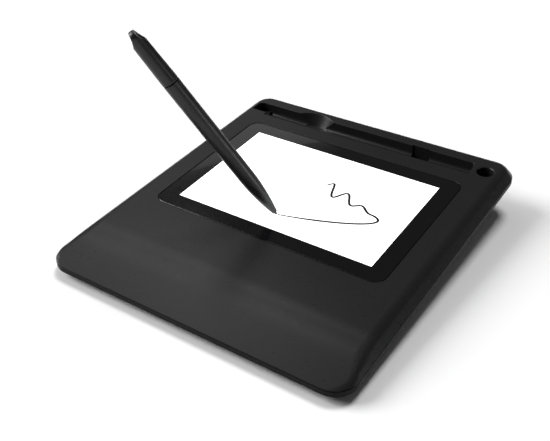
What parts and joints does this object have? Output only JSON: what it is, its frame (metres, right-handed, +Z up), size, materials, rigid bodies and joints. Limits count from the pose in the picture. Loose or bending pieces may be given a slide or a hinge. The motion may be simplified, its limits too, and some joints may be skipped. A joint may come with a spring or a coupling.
{
  "type": "signature pad",
  "caption": "Sloping desk pad with a glazed writing display, palm rest, pen groove with finger scoop, upright pen hole, and a loose pen standing on the glass as if writing.",
  "frame": {"origin": "centre of the footprint's bounding box on the surface that the feet stand on", "axes": "+X to the writer's right, +Y towards the pad's back edge, +Z up"},
  "size_m": [0.159, 0.178, 0.1108],
  "materials": {
    "matte_black": "fine matte texture",
    "dark_tray": "matte",
    "cover_glass": "polished, black behind its border",
    "tape": "matte adhesive foam",
    "display": "satin white screen",
    "diffuser": "milky",
    "steel": "plain zinc plated",
    "board": "green solder mask",
    "chip": "moulded",
    "connector": "moulded",
    "flex": "amber film",
    "rubber": "soft matte",
    "satin_black": "satin",
    "nib": "hard acetal",
    "ferrite": "sintered",
    "copper": "enamelled winding"
  },
  "bodies": {
    "pad": {"top_cover": "matte_black", "bottom_cover": "dark_tray", "cover_glass": "cover_glass", "glass_tape": "tape", "display_panel": "display", "backlight_unit": "diffuser", "display_tray": "steel", "shield_plate": "steel", "sensor_board": "board", "main_board": "board", "processor_chip": "chip", "memory_chip": "chip", "clock_crystal": "steel", "display_connector": "connector", "sensor_connector": "connector", "cable_socket": "steel", "display_flex": "flex", "sensor_flex": "flex", "case_screw_front_left": "steel", "case_screw_front_right": "steel", "case_screw_middle_left": "steel", "case_screw_middle_right": "steel", "case_screw_rear_left": "steel", "case_screw_rear_right": "steel", "module_screw_front_left": "steel", "module_screw_front_right": "steel", "module_screw_rear_left": "steel", "module_screw_rear_right": "steel", "board_screw_front_left": "steel", "board_screw_front_right": "steel", "board_screw_rear_left": "steel", "board_screw_rear_right": "steel", "foot_front_left": "rubber", "foot_front_right": "rubber", "foot_rear_left": "rubber", "foot_rear_right": "rubber"},
    "pen": {"pen_barrel": "satin_black", "pen_tail": "satin_black", "ferrite_core": "ferrite", "sensing_coil": "copper", "pressure_sensor": "ferrite", "pen_carrier": "chip", "pen_board": "board", "pen_chip": "chip"},
    "nib": {"pen_nib": "nib", "nib_holder": "chip"}
  },
  "joints": [
    {"name": "pen_lift", "type": "slide", "parent": "pad", "child": "pen", "axis": [-0.4299, -0.3405, 0.8362], "range_m": [0, 0.08]},
    {"name": "nib_press", "type": "slide", "parent": "pen", "child": "nib", "axis": [-0.4299, -0.3405, 0.8362], "range_m": [0, 0.0005], "stiffness_N_per_m": 2000}
  ]
}
